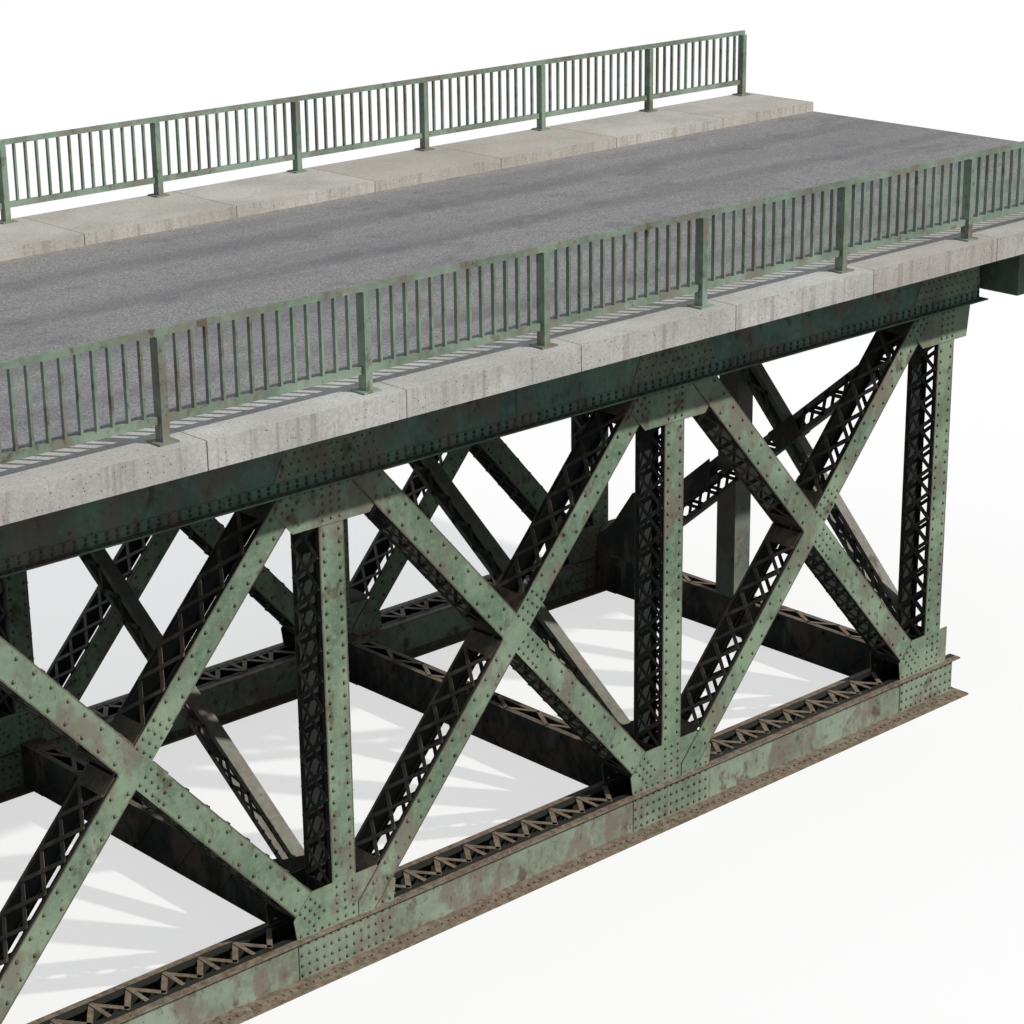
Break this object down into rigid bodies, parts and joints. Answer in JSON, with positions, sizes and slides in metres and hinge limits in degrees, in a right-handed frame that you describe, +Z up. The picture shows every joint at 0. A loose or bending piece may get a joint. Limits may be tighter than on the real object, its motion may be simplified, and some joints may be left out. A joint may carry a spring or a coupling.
{
  "type": "road bridge",
  "caption": "Riveted steel deck truss road bridge with crossed laced diagonals, cross bracing, concrete kerbs, asphalt road and steel railings",
  "frame": {"origin": "centre of the bridge in plan, at the underside of the trusses", "axes": "+X along the road, +Y towards the wide walkway side, +Z up"},
  "size_m": [35.04, 10.91, 8.855],
  "materials": {
    "chord_paint": "weathered sage green paint with rust",
    "sage_paint": "weathered sage green paint with rust spots",
    "inner_paint": "dark weathered green paint",
    "sway_paint": "weathered grey green paint",
    "girder_paint": "dull dark green paint",
    "railing_paint": "weathered green paint with rust",
    "concrete": "plain concrete",
    "kerb_concrete": "light concrete with pores and streaks",
    "asphalt": "worn speckled asphalt"
  },
  "bodies": {
    "root": {"near_bottom_chord": "chord_paint", "far_bottom_chord": "chord_paint", "near_top_chord": "chord_paint", "far_top_chord": "chord_paint", "chord_ties": "inner_paint", "near_verticals": "sage_paint", "far_verticals": "sage_paint", "near_falling_diagonals": "sage_paint", "far_falling_diagonals": "sage_paint", "near_rising_diagonals": "sage_paint", "far_rising_diagonals": "sage_paint", "near_top_gussets": "sage_paint", "far_top_gussets": "sage_paint", "near_bottom_gussets": "sage_paint", "far_bottom_gussets": "sage_paint", "near_splice_plates": "chord_paint", "far_splice_plates": "chord_paint", "near_crossing_plates": "sage_paint", "far_crossing_plates": "sage_paint", "bottom_struts": "inner_paint", "sway_braces": "sway_paint", "sway_corner_gussets": "inner_paint", "end_long_braces": "sway_paint", "end_steep_braces": "sway_paint", "end_sway_posts": "sway_paint", "floor_beams": "inner_paint", "stringers": "inner_paint", "deck_brackets": "inner_paint", "end_cross_beams": "girder_paint", "approach_girders": "girder_paint", "deck_slab": "concrete", "road_surface": "asphalt", "near_kerb": "kerb_concrete", "far_walkway": "kerb_concrete", "near_railing_posts": "railing_paint", "far_railing_posts": "railing_paint", "near_railing": "railing_paint", "far_railing": "railing_paint"}
  },
  "joints": []
}
